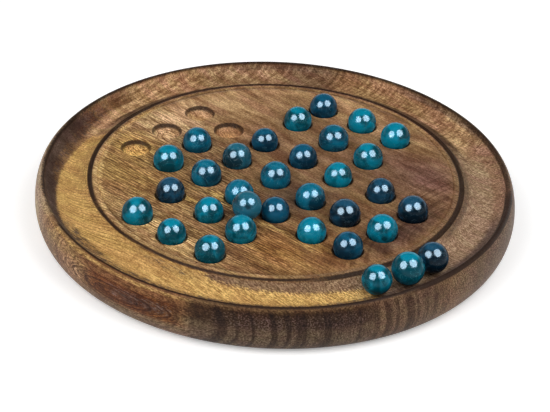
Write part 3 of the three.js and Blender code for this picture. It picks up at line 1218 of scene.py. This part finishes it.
@dataclass(frozen=True)
class PolishedDyedStone:
    """Onyx marble, dyed, tumbled round and polished to a gloss.

    To the eye it is deep and glassy: an even dyed body, cloudy darker bands, a few hair-thin paler
    veins, and crisp highlights.
    """

    stone: Stone
    body: str
    deep: str
    pale: str
    # Each noise has its cell in millimetres, detail, roughness and distortion
    bands: tuple[float, float, float, float] = (9.0, 3.0, 0.55, 0.8)
    veins: tuple[float, float, float, float] = (11.0, 4.0, 0.6, 1.6)
    # The bands' noise times its gain, plus the painted share of dye, light and shade, runs from
    # body to deep between these
    band_gain: float = 1.6
    body_below: float = 0.78
    deep_above: float = 1.46
    vein_width: float = 0.012
    vein_share: float = 0.35
    roughness: float = 0.15
    refraction: float = 1.53
    specular: float = 0.11

    def build(self) -> Material:
        """Builds the material's nodes.

        Returns:
            The material. It reads the share "depth", which darkens the body, and its bands and
            veins lie in Object coordinates, so each marble shows another part of them.
        """
        material, tree = empty_material(f"onyx_polished_{self.stone.name.lower()}")
        place = add_node(tree, "ShaderNodeTexCoord").outputs["Object"]
        clouds, fine = (
            add_node(
                tree, "ShaderNodeTexNoise", {"noise_dimensions": "3D"},
                {
                    "Vector": place,
                    "Scale": 1.0 / mm(cell),
                    "Detail": detail,
                    "Roughness": roughness,
                    "Distortion": distortion,
                },
            ).outputs[0]
            for cell, detail, roughness, distortion in (self.bands, self.veins)
        )
        dye_light_and_shade = add_node(tree, "ShaderNodeAttribute", {"attribute_name": "dye_light_and_shade"}).outputs["Fac"]
        mixed = add_node(
            tree, "ShaderNodeMath", {"operation": "MULTIPLY_ADD"},
            {0: clouds, 1: self.band_gain, 2: dye_light_and_shade},
        ).outputs[0]
        dark = add_node(
            tree, "ShaderNodeMapRange", {"interpolation_type": "SMOOTHSTEP"},
            {"Value": mixed, "From Min": self.body_below, "From Max": self.deep_above},
        ).outputs[0]
        # A vein runs where the fine noise crosses a half
        ridge = add_node(
            tree, "ShaderNodeMath", {"operation": "SUBTRACT"}, {0: fine, 1: 0.5}
        ).outputs[0]
        thin = add_node(tree, "ShaderNodeMath", {"operation": "ABSOLUTE"}, {0: ridge}).outputs[0]
        vein = add_node(
            tree, "ShaderNodeMapRange", {"interpolation_type": "SMOOTHSTEP"},
            {
                "Value": thin,
                "From Min": self.vein_width,
                "From Max": 0.0,
                "To Max": self.vein_share,
            },
        ).outputs[0]
        dyed = add_node(
            tree, "ShaderNodeMix", {"data_type": "RGBA"},
            {0: dark, 6: linear(self.body), 7: linear(self.deep)},
        ).outputs[2]
        colour = add_node(
            tree, "ShaderNodeMix", {"data_type": "RGBA"}, {0: vein, 6: dyed, 7: linear(self.pale)}
        ).outputs[2]
        surface = add_node(
            tree, "ShaderNodeBsdfPrincipled", None,
            {
                "Base Color": colour,
                "Roughness": self.roughness,
                "IOR": self.refraction,
                "Specular IOR Level": self.specular,
            },
        ).outputs[0]
        add_node(tree, "ShaderNodeOutputMaterial", None, {"Surface": surface})
        return material


@dataclass(frozen=True)
class Blotch:
    """A cloud of darker or paler colour on one marble, fixed on the stone.

    Its place is written as it was measured in the photograph, in the marble's radii to the right
    and up from its middle. The share is exp(-(d / reach)^2), with d the straight distance over the
    unit ball.
    """

    node: str
    right: float
    up: float
    reach: float
    strength: float

    def share(self, directions: np.ndarray, axes: np.ndarray) -> np.ndarray:
        """Gives the cloud's share at each point of the marble.

        Args:
            directions: unit vectors from the marble's middle.
            axes: the camera's right, up and back directions as rows.

        Returns:
            The bell-shaped share times the strength.
        """
        towards = math.sqrt(max(0.0, 1.0 - self.right**2 - self.up**2))
        middle = np.array([self.right, self.up, towards]) @ axes
        distance = np.linalg.norm(directions - middle, axis=1)
        return self.strength * np.exp(-((distance / self.reach) ** 2))


@dataclass
class MarbleSet:
    """All the marbles, each a fine ball in the place and size of its frame node."""

    view: Viewpoint
    # Points round a ball, and from its bottom to its top
    turns: int = 72
    bands: int = 37
    # The painted darkness of the body: the dye's level, the painted light that makes the crown
    # paler, and the painted shade that darkens a band round the shoulder, with their heights over
    # the ball's middle in radii
    dye_depth: float = 0.31
    lit_crown: tuple[float, float] = (0.76, 0.98)
    crown_painted_light: float = 0.57
    shoulder: tuple[float, float] = (0.4, 0.82)
    shoulder_soft: float = 0.3
    shoulder_painted_shade: float = 0.18
    blotches: tuple[Blotch, ...] = (
        Blotch("marble_c1", 0.5, 0.55, 0.5, 0.9),
        Blotch("marble_b3", -0.1, -0.45, 0.5, 0.9),
        Blotch("marble_b3", -0.3, 0.1, 0.3, -0.5),
        Blotch("marble_c3", 0.55, -0.05, 0.5, 0.5),
        Blotch("marble_c3", -0.6, -0.4, 0.5, -0.4),
        Blotch("marble_c4", -0.3, -0.3, 0.45, 0.7),
        Blotch("marble_c5", 0.2, 0.0, 0.6, 0.5),
        Blotch("marble_c6", -0.8, 0.3, 0.4, 0.8),
        Blotch("marble_d1", 0.45, -0.1, 0.45, 0.5),
        Blotch("marble_d3", -0.3, 0.4, 0.5, -0.5),
        Blotch("marble_d3", 0.2, -0.2, 1.0, -0.5),
        Blotch("marble_d4", 0.3, 0.15, 0.3, 0.8),
        Blotch("marble_d4", -0.6, -0.2, 0.5, -0.4),
        Blotch("marble_d5", 0.5, -0.4, 0.5, 0.9),
        Blotch("marble_d6", 0.1, 0.8, 0.5, 0.5),
        Blotch("marble_d7", -0.4, -0.2, 0.7, -0.4),
        Blotch("marble_e1", 0.0, 0.2, 1.6, 0.25),
        Blotch("marble_e3", 0.1, -0.4, 0.5, -0.4),
        Blotch("marble_e4", 0.45, -0.45, 0.5, 1.0),
        Blotch("marble_e4", -0.4, 0.4, 0.7, -0.5),
        Blotch("marble_e5", -0.4, -0.2, 0.7, -0.4),
        Blotch("marble_e5", 0.6, 0.3, 0.4, 0.6),
        Blotch("marble_e6", 0.6, 0.55, 0.42, 1.2),
        Blotch("marble_e7", 0.5, 0.3, 0.35, 0.9),
        Blotch("marble_e7", -0.4, -0.2, 0.8, -0.5),
        Blotch("marble_f3", -0.2, 0.0, 1.2, -0.3),
        Blotch("marble_f4", 0.3, -0.3, 0.7, 0.6),
        Blotch("marble_g3", -0.5, -0.4, 0.5, 0.5),
        Blotch("marble_g4", 0.1, -0.6, 0.16, 0.9),
        Blotch("marble_g5", 0.0, -0.6, 0.8, 0.9),
        Blotch("marble_g5", -0.2, 0.5, 0.6, -0.4),
        Blotch("groove_marble_1", 0.0, -0.2, 1.2, 0.2),
        Blotch("groove_marble_2", 0.0, -0.2, 1.4, 0.35),
        Blotch("groove_marble_3", 0.2, -0.3, 0.8, 0.6),
        Blotch("loose_marble", 0.1, -0.1, 0.3, 0.6),
        Blotch("loose_marble", 0.0, -0.2, 1.4, -0.5),
        Blotch("loose_marble", -0.6, -0.5, 0.5, -0.4),
    )
    finishes: tuple[PolishedDyedStone, ...] = (
        PolishedDyedStone(Stone.TEAL, "#02809a", "#02404c", "#4fa3ad"),
        PolishedDyedStone(Stone.BLUE, "#0c6882", "#063446", "#5f9fac"),
        PolishedDyedStone(Stone.NAVY, "#0f536f", "#082c3e", "#4a7f90"),
        PolishedDyedStone(Stone.INK, "#1c4a64", "#061a26", "#55717d"),
        PolishedDyedStone(Stone.SLATE, "#226377", "#122f3a", "#86a4ab"),
    )

    def ball(self, name: str) -> Mesh:
        """Makes the fine ball of a frame node.

        A point at height angle b and turn a is the middle plus R (cos b cos a, cos b sin a, sin b).
        The body is darker by the dye's level and its clouds, paler over the top by painted light,
        and darker in a band round the shoulder below it by painted shade.

        Args:
            name: the frame node, whose box gives the middle and the radius.

        Returns:
            The ball's mesh, with its share "dye_light_and_shade".
        """
        low, high = (np.array(corner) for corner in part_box(name))
        middle = (low + high) / 2
        radius = (high[2] - low[2]) / 2
        height = np.linspace(-0.5 * np.pi, 0.5 * np.pi, self.bands)
        outline = radius * np.stack([np.cos(height), np.sin(height)], axis=1)
        points, faces = lathe_grid(outline, self.turns)
        mesh = closed_mesh(f"{name}_ball", points + middle, faces)
        directions = (mesh_points(mesh) - middle) / radius
        axes = np.array(self.view.axes())
        clouds = [row.share(directions, axes) for row in self.blotches if row.node == name]
        upright = directions[:, 2]
        # Painted light pales the crown, and painted shade darkens a band round the shoulder
        shoulder = window(upright, *self.shoulder, self.shoulder_soft)
        dye_light_and_shade = self.dye_depth - self.crown_painted_light * ease(upright, *self.lit_crown)
        dye_light_and_shade = dye_light_and_shade + self.shoulder_painted_shade * shoulder + sum(clouds)
        paint_share(mesh, "dye_light_and_shade", dye_light_and_shade)
        return mesh

    def build(self) -> list[Object]:
        """Builds every marble over its frame node and hangs it on its body.

        Returns:
            The finished marbles.
        """
        materials = {finish.stone.value: finish.build() for finish in self.finishes}
        slots = {row["node"]: row["material_slot"] for row in frame["record"]["subparts"]}
        pieces = []
        for name in sorted(slots):
            if name != "board":
                piece = placed_piece(f"{name}_polished", self.ball(name), materials[slots[name]])
                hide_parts(name)
                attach(piece, name)
                pieces.append(piece)
        return pieces


# Studio


@dataclass(frozen=True)
class Softbox:
    """An oval lamp, placed by the direction that it is seen in from the board, in camera axes.

    Sizes and distances are metres. The gloss values are those of its copy for the marbles.
    """

    name: str
    right: float
    up: float
    back: float
    watts: float = 8.7
    gloss_watts: float = 220.0
    width: float = 1.1
    height: float = 1.2
    distance: float = 1.3
    gloss_distance: float = 1.25
    colour: tuple[float, float, float] = (1.0, 1.0, 1.0)
    gloss_colour: tuple[float, float, float] = (0.6, 0.83, 1.0)

    def build(self, view: Viewpoint, marbles: Collection) -> None:
        """Hangs the lamp, and a copy just in front that only adds to the marbles' highlights.

        Args:
            view: the camera, whose axes place the lamp.
            marbles: the pieces that the gloss lamp reaches.
        """
        right, up, back = view.axes()
        away = (right * self.right + up * self.up + back * self.back).normalized()
        across = (right - away * right.dot(away)).normalized()
        facing = Matrix((across, away.cross(across), away)).transposed().to_4x4()
        copies = (
            ("key", self.watts, self.distance, self.colour),
            ("gloss", self.gloss_watts, self.gloss_distance, self.gloss_colour),
        )
        for suffix, watts, distance, colour in copies:
            data = bpy.data.lights.new(f"{self.name}_{suffix}", "AREA")
            data.shape = "ELLIPSE"
            data.size, data.size_y = self.width, self.height
            data.energy = watts
            data.color = colour
            lamp = bpy.data.objects.new(data.name, data)
            lamp.matrix_world = Matrix.Translation(Vector(view.target) + away * distance) @ facing
            bpy.context.scene.collection.objects.link(lamp)
            if suffix == "gloss":
                lamp.visible_diffuse = False
                lamp.light_linking.receiver_collection = marbles


@dataclass(frozen=True)
class Studio:
    """A white table under two softboxes, with a dim ceiling and a white horizon.

    The table's lengths are metres. Its glow for the camera rises from floor_glow to 1 between the
    two distances of glow_reach from the axis.
    """

    view: Viewpoint
    lamps: tuple[Softbox, ...] = (
        Softbox("softbox_left", -0.51, 0.376, 0.77),
        Softbox("softbox_right", 0.546, 0.51, 0.66),
    )
    floor_colour: str = "#fbfbfb"
    floor_roughness: float = 0.9
    floor_specular: float = 0.1
    floor_reach: float = 6.0
    floor_opening: float = 0.136
    floor_gap: float = 0.00005
    floor_sides: int = 96
    floor_glow: float = 0.3
    glow_reach: tuple[float, float] = (0.5, 1.8)
    ambient: float = 0.34
    ceiling: float = 0.06
    # Heights of a direction at which the gloss of the room turns from ceiling to white
    horizon: tuple[float, float] = (0.45, 0.15)

    def build_floor(self) -> Object:
        """Lays the table: near-white paint, with a glow that grows away from the board.

        The table is a ring a hair below the base, open under the board, so that the base is seen
        from below.

        Returns:
            The table.
        """
        material, tree = empty_material("matt_white_table_paint")
        path = add_node(tree, "ShaderNodeLightPath")
        seen = path.outputs["Is Camera Ray"]
        for ray in ("Is Glossy Ray", "Is Transmission Ray"):
            seen = add_node(
                tree, "ShaderNodeMath", {"operation": "MAXIMUM"}, {0: seen, 1: path.outputs[ray]}
            ).outputs[0]
        place = add_node(tree, "ShaderNodeTexCoord").outputs["Object"]
        away = add_node(
            tree, "ShaderNodeVectorMath", {"operation": "LENGTH"}, {0: place}
        ).outputs["Value"]
        near, far = self.glow_reach
        level = add_node(
            tree, "ShaderNodeMapRange", {"interpolation_type": "SMOOTHSTEP"},
            {
                "Value": away,
                "From Min": near,
                "From Max": far,
                "To Min": self.floor_glow,
                "To Max": 1.0,
            },
        ).outputs[0]
        glow = add_node(
            tree, "ShaderNodeMath", {"operation": "MULTIPLY"}, {0: seen, 1: level}
        ).outputs[0]
        paint = add_node(
            tree, "ShaderNodeBsdfPrincipled", None,
            {
                "Base Color": linear(self.floor_colour),
                "Roughness": self.floor_roughness,
                "Specular IOR Level": self.floor_specular,
                "Emission Color": (1.0, 1.0, 1.0, 1.0),
                "Emission Strength": glow,
            },
        ).outputs[0]
        add_node(tree, "ShaderNodeOutputMaterial", None, {"Surface": paint})
        outer = (self.floor_reach, -self.floor_gap)
        inner = (self.floor_opening, -self.floor_gap)
        ring = lathe_grid(np.array([outer, inner]), self.floor_sides)
        table = placed_piece("table_top", closed_mesh("table_top", *ring), material)
        return table

    def build_world(self) -> None:
        """Lights the room: white to the camera, dim and even to the wood, white low to gloss."""
        world = bpy.data.worlds.new("studio")
        bpy.context.scene.world = world
        world.use_nodes = True
        tree = world.node_tree
        tree.nodes.clear()
        path = add_node(tree, "ShaderNodeLightPath")
        way = add_node(tree, "ShaderNodeTexCoord").outputs["Generated"]
        rise = add_node(tree, "ShaderNodeSeparateXYZ", None, {0: way}).outputs["Z"]
        high, low = self.horizon
        gloss = add_node(
            tree, "ShaderNodeMapRange", {"interpolation_type": "SMOOTHSTEP"},
            {
                "Value": rise,
                "From Min": high,
                "From Max": low,
                "To Min": self.ceiling,
                "To Max": 1.0,
            },
        ).outputs[0]
        glossy = add_node(
            tree, "ShaderNodeMath", {"operation": "MAXIMUM"},
            {0: path.outputs["Is Glossy Ray"], 1: path.outputs["Is Transmission Ray"]},
        ).outputs[0]
        level = add_node(
            tree, "ShaderNodeMix", {"data_type": "FLOAT"}, {0: glossy, 2: self.ambient, 3: gloss}
        ).outputs[0]
        level = add_node(
            tree, "ShaderNodeMix", {"data_type": "FLOAT"},
            {0: path.outputs["Is Camera Ray"], 2: level, 3: 1.0},
        ).outputs[0]
        sky = add_node(
            tree, "ShaderNodeBackground", None, {"Color": (1.0, 1.0, 1.0, 1.0), "Strength": level}
        ).outputs[0]
        add_node(tree, "ShaderNodeOutputWorld", None, {"Surface": sky})

    def build(self, marbles: list[Object]) -> None:
        """Builds floor, room, lamps and camera.

        Args:
            marbles: the pieces that get the lamps' extra gloss.
        """
        glossy = bpy.data.collections.new("polished_marbles")
        for marble in marbles:
            glossy.objects.link(marble)
        self.build_floor()
        self.build_world()
        for lamp in self.lamps:
            lamp.build(self.view, glossy)
        self.view.build()
        bpy.context.scene.view_settings.view_transform = "Standard"


def main() -> None:
    """Builds the board, its marbles and the studio, and reports each piece."""
    logging.basicConfig(level=logging.INFO, format="%(name)s: %(message)s")
    view = Viewpoint()
    board = TurnedBoard().build()
    marbles = MarbleSet(view).build()
    for piece in [board, *marbles]:
        log.info("%s: %d faces", piece.name, len(piece.data.polygons))
    Studio(view).build(marbles)


if __name__ == "__main__":
    main()
